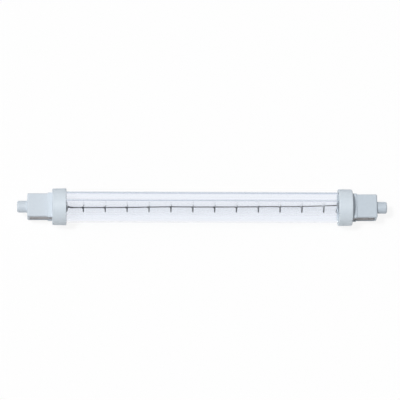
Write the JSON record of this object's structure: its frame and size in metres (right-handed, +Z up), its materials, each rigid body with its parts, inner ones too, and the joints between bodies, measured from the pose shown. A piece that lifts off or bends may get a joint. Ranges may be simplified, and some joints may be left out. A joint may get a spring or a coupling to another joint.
{
  "type": "jacketed quartz infrared heating lamp",
  "caption": "Straight quartz heating tube: clear outer jacket over a sealed lamp tube with a coiled filament on wire rings, and a white ceramic cap with a recessed contact at each end.",
  "frame": {"origin": "middle of the lamp, on the axis of the tubes", "axes": "+X along the lamp towards its right end, +Y across the wide faces of the flat blocks, +Z up, square to those faces"},
  "size_m": [0.22, 0.022, 0.022],
  "materials": {
    "jacket_quartz": "clear fused quartz, fire polished",
    "lamp_quartz": "clear fused quartz, pressed flat at the ends",
    "steatite": "unglazed pressed steatite, fine matt",
    "cement": "cast refractory cement",
    "filament_tungsten": "drawn tungsten wire",
    "support_wire": "drawn tungsten wire",
    "molybdenum": "rolled foil and drawn wire",
    "contact_nickel": "nickel plate"
  },
  "bodies": {
    "root": {"contact_left": "contact_nickel", "contact_right": "contact_nickel", "end_cap_left": "steatite", "end_cap_right": "steatite", "end_support_left": "support_wire", "end_support_right": "support_wire", "filament": "filament_tungsten", "filament_support_01": "support_wire", "filament_support_02": "support_wire", "filament_support_03": "support_wire", "filament_support_04": "support_wire", "filament_support_05": "support_wire", "filament_support_06": "support_wire", "filament_support_07": "support_wire", "filament_support_08": "support_wire", "filament_support_09": "support_wire", "filament_support_10": "support_wire", "filament_support_11": "support_wire", "filament_support_12": "support_wire", "inner_lead_left": "molybdenum", "inner_lead_right": "molybdenum", "jacket_cement_left": "cement", "jacket_cement_right": "cement", "jacket_tube": "jacket_quartz", "lamp_tube": "lamp_quartz", "outer_lead_left": "molybdenum", "outer_lead_right": "molybdenum", "seal_cement_left": "cement", "seal_cement_right": "cement", "seal_foil_left": "molybdenum", "seal_foil_right": "molybdenum"}
  },
  "joints": []
}
